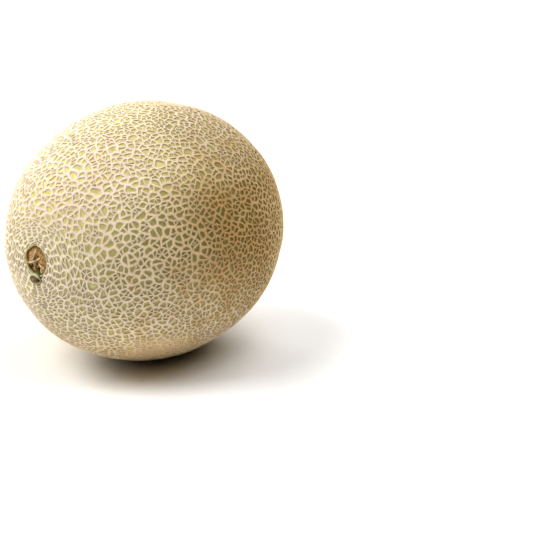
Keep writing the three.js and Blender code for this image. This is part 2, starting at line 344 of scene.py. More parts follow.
# The dark tint is painted shade in hollows, grooves, creases and cracks.
SCAR_TINTS = (
    ("pale", (0.3, 0.75), 1, (240, 222, 186)),
    ("dark", (0.3, 0.8), 0.92, (66, 56, 16)),
    ("lip", None, 1, (216, 206, 138)),
    ("fine", (0.5, 0.75), 0.45, (104, 74, 34)),
)
SCAR_SHEEN = (0.85, 0.3)      # roughness and gloss
SCAR_BUMP = (0.25 * MM, 0.9)
STUB_BASE = ("middle", (0.35, 0.65), (150, 134, 96), (186, 172, 128))
STUB_BOWL_COLOUR = ("middle", (0.4, 0.6), (112, 92, 62), (168, 148, 114))
BOWL_SHOWN = (0.1, 0.5)       # of the bowl's mask
# The hole's near black and the dark green foot are painted shade; the pale tint is partly a
# painted highlight on the rim's upper side.
STUB_TINTS = (
    ("pale", (0.3, 0.8), 1, (222, 218, 168)),
    ("foot", None, 1, (92, 92, 42)),
    ("hole", (0.25, 0.55), 1, (20, 18, 8)),
    ("fine", (0.5, 0.75), 0.35, (84, 66, 38)),
)
STUB_SHEEN = (0.75, 0.5)
STUB_BUMP = (0.2 * MM, 0.8)

rng = np.random.default_rng(11)


def unit(vectors):
    return vectors / np.linalg.norm(vectors, axis=-1, keepdims=True)


def smoothstep(low, high, value):
    t = np.clip((value - low) / (high - low), 0, 1)
    return t * t * (3 - 2 * t)


def angle_between(directions, axis):
    return np.arccos(np.clip(directions @ unit(np.array(axis)), -1, 1))


def bell(distance, width):
    """1 where there is no distance, fading to nearly 0 by two widths."""
    return np.exp(-(distance / width) ** 2)


def noise_at(points, pitch, seed=0.0):
    """Smooth noise from about -1 to 1 at each point, with a number of waves per metre."""
    shift = Vector(seed * NOISE_STEP)
    return np.array([noise.noise(Vector(p) * pitch + shift) for p in points])


# ---- the body

def scar_direction(pole):
    raised = SCAR_RAISE if pole[0] < 0 else 0
    return unit(np.array([pole[0] * HALF_LENGTH, 0, raised]))


def dimple(directions, pole, depth, radius):
    return depth * bell(angle_between(directions, scar_direction(pole)) * HALF_LENGTH, radius)


def hollow(directions):
    """How far the cord tops lie inside the plain oval."""
    turn = np.arctan2(directions[:, 2], -directions[:, 1])
    groove = (0.5 + 0.5 * np.cos(RIB_COUNT * (turn - FIRST_GROOVE))) ** 2
    ribs = RIB_GROOVE_DEPTH * groove * (1 - directions[:, 0] ** 2)
    ends = dimple(directions, STEM_POLE, *STEM_DIMPLE)
    ends += dimple(directions, BLOSSOM_POLE, *BLOSSOM_DIMPLE)
    lumps = LUMP_HEIGHT * (1 + noise_at(directions * HALF_WIDTH, LUMP_PITCH)) / 2
    return ribs + ends + lumps


def skin_points(directions, depth):
    """Points of the body in directions from its middle, a depth below the cord tops."""
    axes = np.array([HALF_LENGTH, HALF_WIDTH, HALF_WIDTH])
    oval = 1 / np.linalg.norm(directions / axes, axis=1)
    points = directions * (oval - hollow(directions) - depth)[:, None] + np.array(CENTRE)
    points[:, 2] = np.maximum(points[:, 2], 0)
    return points


# ---- the net's layout

def spiral(count):
    """Directions spread evenly over a sphere, from the stem's end to the blossom's."""
    x = (2 * np.arange(count) + 1) / count - 1
    ring = np.sqrt(1 - x ** 2)
    turn = np.arange(count) * math.pi * (3 - math.sqrt(5))
    return np.stack([x, ring * np.cos(turn), ring * np.sin(turn)], 1)


def delaunay(seeds):
    """The triangles that join neighbouring seeds, anticlockwise from outside."""
    mesh = bmesh.new()
    for seed in seeds:
        mesh.verts.new(seed)
    bmesh.ops.convex_hull(mesh, input=mesh.verts)
    loose = [v for v in mesh.verts if not v.link_faces]
    bmesh.ops.delete(mesh, geom=loose, context="VERTS")
    mesh.verts.index_update()
    kept = np.array([v.co for v in mesh.verts])
    triangles = np.array([[v.index for v in f.verts] for f in mesh.faces])
    mesh.free()
    a, b, c = (kept[triangles[:, k]] for k in range(3))
    inward = np.einsum("ij,ij->i", np.cross(b - a, c - a), a + b + c) < 0
    triangles[inward] = triangles[inward][:, ::-1]
    return kept, triangles


def divide(seeds):
    """The cells round a set of seeds: the directions of their corners, and each cell's
    corners in order, anticlockwise from outside."""
    seeds, triangles = delaunay(seeds)
    a, b, c = (seeds[triangles[:, k]] for k in range(3))
    corners = unit(np.cross(b - a, c - a))
    return seeds, corners, cells_round(triangles.tolist(), len(seeds))


def cells_round(triangles, seed_count):
    """For each seed, the triangles round it in order."""
    by_side = {}
    for number, (p, q, r) in enumerate(triangles):
        by_side[(p, q)] = (number, r)
        by_side[(q, r)] = (number, p)
        by_side[(r, p)] = (number, q)
    neighbour = {p: q for p, q in by_side}
    cells = []
    for seed in range(seed_count):
        first = other = neighbour[seed]
        cell = []
        while not cell or other != first:
            number, other = by_side[(seed, other)]
            cell.append(number)
        cells.append(cell)
    return cells


def opened(layout):
    """Directions of the layout moved apart round each scar, which draws the cells there out
    into rings."""
    polar = angle_between(layout, STEM_POLE)
    back = math.pi - polar
    placed = np.hypot(polar, STEM_OPENING) - (np.hypot(back, BLOSSOM_OPENING) - back)
    ring = np.sin(placed) / np.maximum(np.sin(polar), TINY)
    moved = np.stack([-np.cos(placed), layout[:, 1] * ring, layout[:, 2] * ring], 1)
    moved[:, 2] += SCAR_RAISE / HALF_LENGTH * np.exp(-polar / RAISE_FADE)
    return unit(moved)


def middle_of(rim):
    """The direction of the middle of a cell's area."""
    after = np.roll(rim, -1, axis=0)
    inside = unit(rim.sum(axis=0))
    areas = np.cross(rim, after) @ inside
    return unit(((rim + after + inside) * areas[:, None]).sum(axis=0))


def sides(cell):
    return zip(cell, cell[1:] + cell[:1])


class Net:
    """Cells that share their corners. A cell lists its corners anticlockwise from outside."""

    def __init__(self, corners, cells):
        self.corners = list(corners)
        self.cells = [list(cell) for cell in cells]
        self.owner = {side: n for n, cell in enumerate(self.cells) for side in sides(cell)}
        self.level = {side: 0 for side in self.owner}   # 0 for the thickest cords
        self.gaps = set()   # corners where a cord is broken

    def flat(self, number):
        """A cell's middle, the axes round and towards the stem of the plane that touches the
        body there, and the cell's corners in that plane, in metres."""
        rim = np.array([self.corners[corner] for corner in self.cells[number]])
        middle = middle_of(rim)
        east = unit(np.cross(middle, NEAR_STEM_POLE))
        north = np.cross(middle, east)
        rim = rim / (rim @ middle)[:, None] - middle
        return middle, east, north, np.stack([rim @ east, rim @ north], 1) * HALF_WIDTH

    def add_corner(self, p, q, share):
        """A new corner on the side from p to q, a share of the way along."""
        corner = len(self.corners)
        self.corners.append(unit(self.corners[p] * (1 - share) + self.corners[q] * share))
        for a, b in ((p, q), (q, p)):
            number, level = self.owner.pop((a, b)), self.level.pop((a, b))
            self.cells[number].insert(self.cells[number].index(a) + 1, corner)
            self.owner[(a, corner)] = self.owner[(corner, b)] = number
            self.level[(a, corner)] = self.level[(corner, b)] = level
        return corner

    def cut(self, number, plane, level):
        """Cuts a cell in two along a plane through the body's middle, and gives the number of
        the new cell, on the side of the plane's normal."""
        cell = self.cells[number]
        height = np.array([self.corners[corner] for corner in cell]) @ plane
        crossed = [(p, q, a, b) for (p, q), a, b in zip(sides(cell), height, np.roll(height, -1))
                   if a * b < 0]
        if len(crossed) != 2:
            return None
        ends = [self.add_corner(p, q, min(max(a / (a - b), LEAST_CUT), 1 - LEAST_CUT))
                for p, q, a, b in crossed]
        if crossed[0][2] > 0:
            ends.reverse()
        cell = cell[cell.index(ends[0]):] + cell[:cell.index(ends[0])]
        turn = cell.index(ends[1])
        new = len(self.cells)
        self.cells.append(cell[:turn + 1])
        self.cells[number] = cell[turn:] + ends[:1]
        for part in (new, number):
            self.owner.update({side: part for side in sides(self.cells[part])})
        self.level[(ends[0], ends[1])] = self.level[(ends[1], ends[0])] = level
        return new


def area(flat):
    x, y = flat.T
    return abs(x @ np.roll(y, -1) - y @ np.roll(x, -1)) / 2


def crowding(polar):
    """How much closer together the cells are at an angle from the stem's end."""
    stem = STEM_CROWDING * bell(polar, CROWDING_REACH)
    return 1 + stem + BLOSSOM_CROWDING * bell(math.pi - polar, CROWDING_REACH)


def cut_up(net, number, level=1):
    """Cuts a cell across its length, and then its parts, until they are small."""
    middle, east, north, flat = net.flat(number)
    from_stem = angle_between(middle, STEM_POLE)
    size = area(flat) * crowding(from_stem)
    nearness = bell(from_stem, CROWDING_REACH)
    spread = CELL_SPREAD * (1 - EVENNESS_AT_STEM * nearness)
    if size < min(CELL_AREA * math.exp(rng.normal(0, spread)), LARGEST_CELL):
        return
    stretch = np.array([1, 1 + STEM_STRETCH * nearness])
    length = np.linalg.eigh(np.cov((flat * stretch).T))[1][:, 1]
    tilt = rng.normal(0, CUT_TILT)
    along = np.array([length[0] * math.cos(tilt) - length[1] * math.sin(tilt),
                      length[0] * math.sin(tilt) + length[1] * math.cos(tilt)]) * stretch
    reach = flat @ along
    offset = reach.min() + np.ptp(reach) * (0.5 + rng.uniform(-CUT_SHAKE, CUT_SHAKE))
    plane = along[0] * east + along[1] * north - offset / HALF_WIDTH * middle
    new = net.cut(number, plane, level)
    if new is not None:
        cut_up(net, number, level + 1)
        cut_up(net, new, level + 1)


def break_cords(net):
    """Makes spurs of some finer cords, which then stop short of the cord that they meet."""
    finer = [side for side, level in net.level.items() if level > 1 and side[0] < side[1]]
    for p, q in finer:
        length = np.linalg.norm(net.corners[p] - net.corners[q]) * HALF_WIDTH
        if rng.random() < SPUR_SHARE and length > LEAST_SPUR:
            p, q = (p, q) if rng.random() < 0.5 else (q, p)
            gap = net.add_corner(p, q, SPUR_GAP / length)
            net.add_corner(gap, q, SPUR_TIP / (length - SPUR_GAP))
            net.gaps.add(gap)
            net.level[(p, gap)] = net.level[(gap, p)] = None


def bend_cords(net):
    """Gives each long cord a corner halfway, a little to one side."""
    for p, q in [side for side in net.owner if side[0] < side[1]]:
        run = net.corners[q] - net.corners[p]
        if np.linalg.norm(run) * HALF_WIDTH > BENT_LENGTH:
            corner = net.add_corner(p, q, 0.5)
            aside = np.cross(net.corners[corner], run)
            net.corners[corner] = unit(net.corners[corner] + rng.normal(0, BEND) * aside)


def rings_of_seeds(pole):
    """A seed on a pole and rings of seeds round it, whose cells fence the scar."""
    seeds = [np.array([[1, 0, 0]])]
    for angle, count in RINGS:
        shake = rng.uniform(-RING_TURN_SHAKE, RING_TURN_SHAKE, count)
        turn = (np.arange(count) + shake) * 2 * math.pi / count
        reach = rng.normal(angle, RING_SHAKE, count)
        ring = np.sin(reach)
        seeds.append(np.stack([np.cos(reach), ring * np.cos(turn), ring * np.sin(turn)], 1))
    return np.vstack(seeds) * [pole[0], 1, 1]


def net_seeds():
    seeds = spiral(LARGE_CELLS)
    seeds = unit(seeds + rng.normal(0, SEED_SHAKE, seeds.shape))
    for _ in range(SETTLING_ROUNDS):
        seeds, corners, cells = divide(seeds)
        seeds = unit(np.array([corners[cell].sum(axis=0) for cell in cells]))
    clear = np.abs(seeds[:, 0]) < math.cos(BEYOND_RINGS)
    return np.vstack([rings_of_seeds(STEM_POLE), rings_of_seeds(BLOSSOM_POLE), seeds[clear]])


def round_off_scars(net):
    """Sets the corners of the cell that each scar fills on a circle round the scar's middle."""
    for pole, radius in ((STEM_POLE, DISH_EDGE), (BLOSSOM_POLE, BLOSSOM_EDGE)):
        middle = scar_direction(pole)
        reach = radius / HALF_LENGTH
        filled = max(net.cells, key=lambda cell: unit(sum(net.corners[c] for c in cell)) @ middle)
        for corner in filled:
            aside = net.corners[corner] - middle * (net.corners[corner] @ middle)
            net.corners[corner] = middle * math.cos(reach) + unit(aside) * math.sin(reach)


def shake_corners(net):
    """Moves each corner a little, and less where another one is close."""
    corners = np.array(net.corners)
    ends = np.array(list(net.owner))
    lengths = np.linalg.norm(corners[ends[:, 0]] - corners[ends[:, 1]], axis=1)
    shortest = np.ones(len(corners))
    np.minimum.at(shortest, ends[:, 0], lengths)
    step = np.minimum(CORNER_SHAKE / HALF_WIDTH, SHAKE_LIMIT * shortest)
    net.corners = list(unit(corners + rng.normal(0, 1, corners.shape) * step[:, None]))


def unfold(net):
    """Draws in the corners where a cell would fold over itself."""
    for cell in net.cells * UNFOLDING_ROUNDS:
        rim = np.array([net.corners[corner] for corner in cell])
        turn = np.cross(rim, np.roll(rim, -1, axis=0)) @ middle_of(rim) * HALF_WIDTH ** 2
        for first in np.flatnonzero(turn < LEAST_TURN):
            for i in (first, (first + 1) % len(cell)):
                drawn = net.corners[cell[i - 1]] + net.corners[cell[(i + 1) % len(cell)]]
                net.corners[cell[i]] = unit(net.corners[cell[i]] + drawn / 2)


def make_net():
    seeds, corners, cells = divide(net_seeds())
    net = Net(opened(corners), cells)
    round_off_scars(net)
    for number in np.flatnonzero(np.abs(seeds[:, 0]) < math.cos(RINGS[0][0] / 2)):
        cut_up(net, int(number))
    bend_cords(net)
    break_cords(net)
    shake_corners(net)
    unfold(net)
    round_off_scars(net)
    return net


# ---- the net's mesh

def inset(rim, half_widths, thickness):
    """Corners of a flat cell moved in towards its middle, clear of the cords on its sides."""
    side = np.roll(rim, -1, axis=0) - rim
    inward = np.stack([-side[:, 1], side[:, 0]], 1)
    inward /= np.maximum(np.linalg.norm(inward, axis=1, keepdims=True), TINY)
    reach = np.linalg.norm(rim, axis=1)
    ray = rim / np.maximum(reach, TINY)[:, None]
    needed = []
    for lines, widths in ((inward, half_widths),
                          (np.roll(inward, 1, axis=0), np.roll(half_widths, 1))):
        slant = np.maximum(-(lines * ray).sum(axis=1), LEAST_SLANT)
        needed.append(widths * thickness / slant)
    return ray * np.maximum(reach - np.maximum(*needed), LEAST_OPENING * reach)[:, None]


def rounded(loop, share):
    """A loop of points with its corners drawn in."""
    return loop * (1 - share) + (np.roll(loop, 1, axis=0) + np.roll(loop, -1, axis=0)) * share / 2


def cord_width(level):
    """A cord's half width: none where it is broken."""
    return 0 if level is None else CORDS[min(level, len(CORDS) - 1)]


def spot_share(directions, spot, reach, shift):
    """1 inside a spot of colour, 0 beyond its reach."""
    return 1 - smoothstep(*reach, angle_between(directions, spot) + shift)


def spot_shift(directions):
    """How far the spots' edges wander, in radians."""
    return SPOT_WANDER * noise_at(directions, SPOT_WANDER_PITCH, seed=7)


def net_mesh():
    """The netted skin: its vertices' directions, where each lies from the middle of a cell at
    -1, over its rim at 0, to the crest of a cord at 1, the tone of its cell, and its faces."""
    net = make_net()
    corners = np.array(net.corners)
    from_stem = angle_between(corners, STEM_POLE)
    unevenness = noise_at(corners * HALF_WIDTH, CORD_UNEVEN_PITCH, seed=3)
    thickness = 1 + CORD_UNEVENNESS * unevenness
    thickness *= 1 - FINENESS_AT_STEM * bell(from_stem, CROWDING_REACH)
    low = spot_share(corners, *SPOTS["low"], spot_shift(corners))
    thickness *= 1 + BREADTH_LOW_DOWN * low
    gaps = list(net.gaps)
    thickness[gaps] = GAP_THICKNESS
    crests = np.ones(len(corners))
    crests[gaps] = GAP_CREST

    directions, places, tones, faces = [corners], [crests], [np.zeros(len(corners))], []
    total = len(corners)
    for number, cell in enumerate(net.cells):
        middle, east, north, flat = net.flat(number)
        widths = np.array([cord_width(net.level[side]) for side in sides(cell)])
        rim = rounded(inset(flat, widths, thickness[cell]), CORNER_ROUNDING)
        loop = np.vstack([rim, [0, 0]]) / HALF_WIDTH
        directions.append(unit(middle + loop[:, :1] * east + loop[:, 1:] * north))
        openness = min(math.sqrt(area(rim) / math.pi) / OPEN_CELL, 1)
        count = len(cell)
        places.append([SLIT_FOOT * (openness - 1)] * count + [-openness])
        tones.append(np.full(count + 1, rng.normal(0, 1)))
        for i, corner in enumerate(cell):
            j = (i + 1) % count
            faces.append((corner, cell[j], total + j, total + i))
            faces.append((total + i, total + j, total + count))
        total += count + 1
    return np.vstack(directions), np.concatenate(places), np.concatenate(tones), faces


def patch_share(directions):
    """1 in the middle of the ground patch, 0 beyond it."""
    edge = PATCH_UNEVENNESS * noise_at(directions, PATCH_UNEVEN_PITCH, seed=9)
    return 1 - smoothstep(*GROUND_PATCH_REACH, angle_between(directions, GROUND_PATCH) + edge)


def mesh_object(name, points, faces, masks, material):
    """A smooth mesh in the scene, with masks on its points for its material to read."""
    mesh = bpy.data.meshes.new(name)
    mesh.from_pydata([tuple(p) for p in points], [], faces)
    mesh.validate()
    mesh.shade_smooth()
    for mask, values in masks.items():
        layer = mesh.attributes.new(mask, "FLOAT", "POINT")
        layer.data.foreach_set("value", np.asarray(values, dtype=np.float32))
    mesh.materials.append(material)
    piece = bpy.data.objects.new(name, mesh)
    bpy.context.scene.collection.objects.link(piece)
    return piece


def colour_spots(directions):
    """The masks of the soft spots of colour, some of them partly painted light and shade."""
    shift = spot_shift(directions)
    masks = {name: spot_share(directions, *spot, shift) for name, spot in SPOTS.items()}
    pale = [spot_share(directions, *spot, shift) for spot in PALE_SPOTS]
    masks["pale"] = np.max(pale, axis=0)
    masks["ripe"] = smoothstep(*RIPE_AND_LIT_SPAN, directions @ unit(RIPE_AND_LIT_SIDE) + shift)
    return masks


def rind_depth(directions, places, masks):
    """How far the points of the rind lie below the cord tops."""
    unevenness = noise_at(directions * HALF_WIDTH, HEIGHT_UNEVEN_PITCH, seed=5)
    cord = CORD_HEIGHT * (1 + HEIGHT_UNEVENNESS * unevenness)
    cord *= 1 - (1 - GROUND_NET_SHARE) * masks["patch"]
    cord *= 1 - FLATNESS_LOW_DOWN * masks["low"]
    depth = CORD_HEIGHT - cord * np.maximum(places, 0) - CELL_BULGE * np.maximum(-places, 0)
    from_stub = np.linalg.norm(scar_places(STEM_POLE, directions) - STUB_PLACE, axis=1)
    depth[masks["dish"]] = RIND_UNDER_DISH
    depth[(directions[:, 0] < 0) & (from_stub < STUB_RADIUS)] = RIND_UNDER_STUB
    return depth


def make_rind():
    directions, places, tones, faces = net_mesh()
    from_stem = angle_between(directions, scar_direction(STEM_POLE)) * HALF_LENGTH
    masks = {"net": places, "tone": tones, "patch": patch_share(directions),
             "dish": from_stem < DISH_EDGE - DISH_EDGE_MARGIN,
             "crown": bell(from_stem, CROWN_REACH), **colour_spots(directions)}
    points = skin_points(directions, rind_depth(directions, places, masks))
    return mesh_object("rind", points, faces, masks, rind_material(masks))


# ---- the scars

def disc(radii, spokes):
    """A round sheet: its points in rings of the given radii about its middle, which is the
    first point, and its faces."""
    turn = np.arange(spokes) * 2 * math.pi / spokes
    circle = np.stack([np.cos(turn), np.sin(turn)], 1)
    flat = np.vstack([[[0, 0]]] + [radius * circle for radius in radii])
    faces = [(0, 1 + k, 1 + (k + 1) % spokes) for k in range(spokes)]
    for ring in range(len(radii) - 1):
        first = 1 + ring * spokes
        for k in range(spokes):
            j = (k + 1) % spokes
            faces.append((first + k, first + spokes + k, first + spokes + j, first + j))
    return flat, faces


def on_skin(pole, flat, heights):
    """Points over a scar: flat places from its middle and heights above the cord tops, in
    millimetres."""
    middle = scar_direction(pole) * HALF_LENGTH
    places = np.stack([np.full(len(flat), middle[0]), flat[:, 0] * MM,
                       middle[2] + flat[:, 1] * MM], 1)
    return skin_points(unit(places), -heights * MM)


def scar_places(pole, directions):
    """Where directions pass a scar: millimetres from its middle, as on_skin takes them."""
    middle = scar_direction(pole) * HALF_LENGTH
    return (directions[:, 1:] * middle[0] / directions[:, :1] - [0, middle[2]]) / MM


def in_space(flat, heights=0):
    """Flat places and heights in millimetres as points in metres, for the noise."""
    return np.column_stack([flat, np.zeros(len(flat)) + heights]) * MM


def roughness(points, layers):
    return sum(height * noise_at(points, pitch, seed) for height, pitch, seed in layers)


def crumpled(flat, amount, pitch, seed):
    """Flat places pushed about a little, which makes the forms laid out on them uneven."""
    solid = in_space(flat)
    push = np.stack([noise_at(solid, pitch, seed), noise_at(solid, pitch, seed + 1)], 1)
    return flat + amount * push


def lump(flat, place, width):
    """1 on a place, fading away round it."""
    return bell(np.linalg.norm(flat - place, axis=1), width)


def ridge(flat, start, end, width):
    """1 along a line, fading away to its sides."""
    start, run = np.array(start), np.array(end) - np.array(start)
    along = np.clip((flat - start) @ run / (run @ run), 0, 1)
    away = np.linalg.norm(flat - start - along[:, None] * run, axis=1)
    return bell(away, width)


def scar_piece(name, pole, flat, heights, faces, masks, material):
    """A piece that covers a scar, with masks for its material to colour."""
    if pole[0] < 0:
        faces = [face[::-1] for face in faces]
    masks = {mask: np.clip(values, 0, 1) for mask, values in masks.items()}
    return mesh_object(name, on_skin(pole, flat, heights), faces, masks, material)


def dish_forms(bent):
    """The heights of the dish's lumps, hollows and ridges, and a mask of each kind."""
    heights = np.full(len(bent), DISH_FLOOR)
    masks = {}
    for mask, shape, forms in (("cork", lump, CORK_LUMPS), ("dark", lump, DARK_HOLLOWS),
                               ("pale", ridge, RIDGES)):
        masks[mask] = np.zeros(len(bent))
        for *where, height in forms:
            form = shape(bent, *where)
            heights += height * form
            masks[mask] = np.maximum(masks[mask], form)
    return heights, masks


def make_stem_scar():
    flat, faces = disc(np.linspace(SHEET_START, DISH_RADIUS, DISH_RINGS), DISH_SPOKES)
    reach = np.linalg.norm(flat, axis=1)
    solid = in_space(flat)
    bent = crumpled(flat, CRUMPLE, CRUMPLE_PITCH, seed=21)
    bent_reach = np.linalg.norm(bent, axis=1)
    heights, masks = dish_forms(bent)
    heights += roughness(solid, DISH_ROUGHNESS)
    creases = 1 - np.abs(noise_at(solid, CREASE_PITCH, seed=33)) * CREASE_SHARPNESS
    creases = np.clip(creases, 0, 1)
    heights -= CREASE_DEPTH * creases ** 2
    where, width, depth = DISH_RIM_GROOVE
    groove = bell(bent_reach - where, width)
    heights += depth * groove
    where, width, height = DISH_LIP
    heights += height * bell(reach - where, width)
    heights -= DISH_RIM_DROP * smoothstep(where, where + 1, reach)
    # The hollows, the rim's groove and the creases are painted dark, as shade.
    masks["dark"] = np.max([masks["dark"], groove, CREASE_DARKNESS * creases ** 3], axis=0)
    masks["lip"] = smoothstep(*LIP_COLOUR, bent_reach)
    return scar_piece("stem_scar", STEM_POLE, flat, heights, faces, masks,
                      scar_material("stem_scar", masks))


def stub_sheet():
    """The rings of points over the stub's top, round its rim and down its wall."""
    top = np.linspace(*STUB_TOP_RINGS)
    turn = np.linspace(*STUB_RIM_RINGS) * math.pi / 2
    rim = STUB_TOP + (1 - STUB_TOP) * np.sin(turn)
    wall = np.linspace(*STUB_WALL_RINGS)
    return disc(np.concatenate([top, rim, wall]) * STUB_RADIUS, STUB_SPOKES)


def make_stub():
    """A short hollow stalk, sunk in the skin, with a rounded rim and a hole, and masks for
    painted light and shade: a highlight on the rim's upper side, shade in the hole and round the
    foot.
    """
    flat, faces = stub_sheet()
    reach = np.linalg.norm(flat, axis=1) / STUB_RADIUS
    rounding = np.sqrt(np.clip(1 - ((reach - STUB_TOP) / (1 - STUB_TOP)) ** 2, 0, 1))
    shoulder = STUB_SHOULDER + (1 - STUB_SHOULDER) * rounding
    heights = STUB_HEIGHT * np.where(reach < STUB_TOP, 1, shoulder)
    start, end, depth = STUB_BOWL
    bowl = 1 - smoothstep(start, end, reach)
    heights += flat @ STUB_TILT - depth * bowl
    place, width, depth = STUB_HOLE
    hole = lump(flat, place, width)
    heights += depth * hole
    foot = smoothstep(*STUB_FOOT, reach)
    heights = heights * (1 - foot) + STUB_ROOT * foot
    heights += roughness(in_space(flat, heights), STUB_ROUGHNESS)
    palest, width = STUB_PALE_RIM
    pale = bell(reach - palest, width) * smoothstep(*STUB_PALE_SIDE, flat @ STUB_TILT)
    masks = {"pale": pale, "hole": hole, "bowl": bowl,
             "foot": smoothstep(*STUB_FOOT_COLOUR, reach)}
    flat = flat + STUB_LEAN * heights[:, None] + STUB_PLACE
    return scar_piece("stem_stub", STEM_POLE, flat, heights, faces, masks,
                      stub_material(masks))


def make_blossom_scar():
    radii = np.linspace(SHEET_START, BLOSSOM_RADIUS, BLOSSOM_RINGS)
    flat, faces = disc(radii, BLOSSOM_SPOKES)
    solid = in_space(flat)
    bent = crumpled(flat, BLOSSOM_CRUMPLE, BLOSSOM_CRUMPLE_PITCH, seed=51)
    reach = np.linalg.norm(bent, axis=1)
    radius, width, height = BLOSSOM_RING
    ring = bell(reach - radius, width)
    nub_width, nub_height = BLOSSOM_NUB
    nub = np.exp(-(reach / nub_width) ** 4)
    turn = np.arctan2(bent[:, 1], bent[:, 0])
    turn = BLOSSOM_CRACKS * turn + CRACK_WANDER * noise_at(solid, CRACK_WANDER_PITCH, seed=53)
    cracks = np.clip(np.cos(turn), 0, 1) ** CRACK_SHARPNESS
    cracks *= smoothstep(nub_width, nub_width * 2, reach)
    cracks *= 1 - smoothstep(radius, CRACK_END, reach)
    heights = BLOSSOM_FLOOR + height * ring + nub_height * nub - CRACK_DEPTH * cracks
    heights += roughness(solid, BLOSSOM_ROUGHNESS)
    rim = (BLOSSOM_RADIUS - BLOSSOM_RIM, BLOSSOM_RADIUS)
    heights -= BLOSSOM_RIM_DROP * smoothstep(*rim, np.linalg.norm(flat, axis=1))
    all_over, on_ring = RING_CORK
    # The cracks are painted dark, as shade in them.
    masks = {"pale": RING_PALENESS * ring, "cork": all_over + on_ring * ring + nub,
             "dark": cracks, "lip": smoothstep(*rim, reach)}
    return scar_piece("blossom_scar", BLOSSOM_POLE, flat, heights, faces, masks,
                      scar_material("blossom_scar", masks))


# ---- materials

def colour(display):
    """A colour for the shader, from its display values."""
    def linear(value):
        share = value / 255
        return share / 12.92 if share <= 0.04045 else ((share + 0.055) / 1.055) ** 2.4
    return (*map(linear, display), 1.0)


class Nodes:
    """A material's node tree, with short ways to add what this script uses. The masks on the
    mesh and the noises in space are its sources, by name."""

    def __init__(self, name, masks=(), noises=()):
        self.material = bpy.data.materials.new(name)
        self.material.use_nodes = True
        self.tree = self.material.node_tree
        self.shader = self.tree.nodes["Principled BSDF"]
        self.sources = {}
        for mask in masks:
            self.sources[mask] = self.new("Attribute", attribute_name=mask).outputs["Fac"]
        for source, *settings in noises:
            self.sources[source] = self.noise(*settings)

    def __getitem__(self, source):
        return self.sources[source]

    def new(self, kind, **settings):
        node = self.tree.nodes.new("ShaderNode" + kind)
        for key, value in settings.items():
            setattr(node, key, value)
        return node

    def link(self, source, target):
        """Joins a source to a socket, or sets a number or a colour on it."""
        if isinstance(source, tuple):
            target.default_value = colour(source)
        elif isinstance(source, (int, float)):
            target.default_value = source
        else:
            self.tree.links.new(source, target)

    def noise(self, scale, detail, roughness):
        node = self.new("TexNoise")
        self.link(self.new("TexCoord").outputs["Object"], node.inputs["Vector"])
        self.link(scale, node.inputs["Scale"])
        self.link(detail, node.inputs["Detail"])
        self.link(roughness, node.inputs["Roughness"])
        return node.outputs["Fac"]

    def math(self, operation, *values):
        node = self.new("Math", operation=operation)
        for value, socket in zip(values, node.inputs):
            self.link(value, socket)
        return node.outputs[0]

    def span(self, value, low, high, to_low=0.0, to_high=1.0):
        """A value eased over its span from low to high."""
        node = self.new("MapRange", interpolation_type="SMOOTHSTEP")
        for source, socket in zip((value, low, high, to_low, to_high), node.inputs):
            self.link(source, socket)
        return node.outputs["Result"]

    def mix(self, share, a, b):
        """One colour turning into another."""
        node = self.new("Mix", data_type="RGBA")
        self.link(share, node.inputs["Factor"])
        for value, socket in zip((a, b), [s for s in node.inputs if s.type == "RGBA"]):
            self.link(value, socket)
        return next(s for s in node.outputs if s.type == "RGBA")

    def marbled(self, source, span, a, b):
        """Two colours, by a noise."""
        return self.mix(self.span(self[source], *span), a, b)

    def tinted(self, look, tints):
        """A look with a list of tints laid over it."""
        for source, span, share, tint in tints:
            if span:
                shown = self.span(self[source], *span, 0, share)
            else:
                shown = self.math("MULTIPLY", self[source], share)
            look = self.mix(shown, look, tint)
        return look

    def finish(self, look, roughness, gloss, height, bump):
        """The material, with its colour, roughness, gloss and bump joined to its shader."""
        self.link(look, self.shader.inputs["Base Color"])
        self.link(roughness, self.shader.inputs["Roughness"])
        self.link(gloss, self.shader.inputs["Specular IOR Level"])
        distance, strength = bump
        node = self.new("Bump")
        self.link(strength, node.inputs["Strength"])
        self.link(distance, node.inputs["Distance"])
        self.link(height, node.inputs["Height"])
        self.link(node.outputs["Normal"], self.shader.inputs["Normal"])
        return self.material


def rind_skin(nodes, ripe_skin):
    """The skin in the cells: marbled, tinted in spots, some of them partly painted light and
    shade, and with painted shade at the cells' edges.
    """
    unripe = nodes.mix(nodes["deep_green_and_shade"], nodes.marbled(*OLIVE_SKIN), nodes.marbled(*GREEN_SKIN))
    skin = nodes.mix(ripe_skin, unripe, nodes.marbled(*BRIGHT_SKIN))
    edge = nodes.mix(nodes["deep_green_and_shade"], OLIVE_EDGE, GREEN_EDGE)
    edge = nodes.tinted(nodes.mix(ripe_skin, edge, RIPE_AND_LIT_EDGE), EDGE_TINTS)
    skin = nodes.mix(nodes.span(nodes["net"], *EDGE_SPAN), nodes.tinted(skin, SKIN_TINTS), edge)
    skin = nodes.tinted(skin, PATCH_TINTS)
    return nodes.mix(nodes.span(nodes["patch"], *PATCH_CORE), skin, nodes.marbled(*PATCH_TAN))


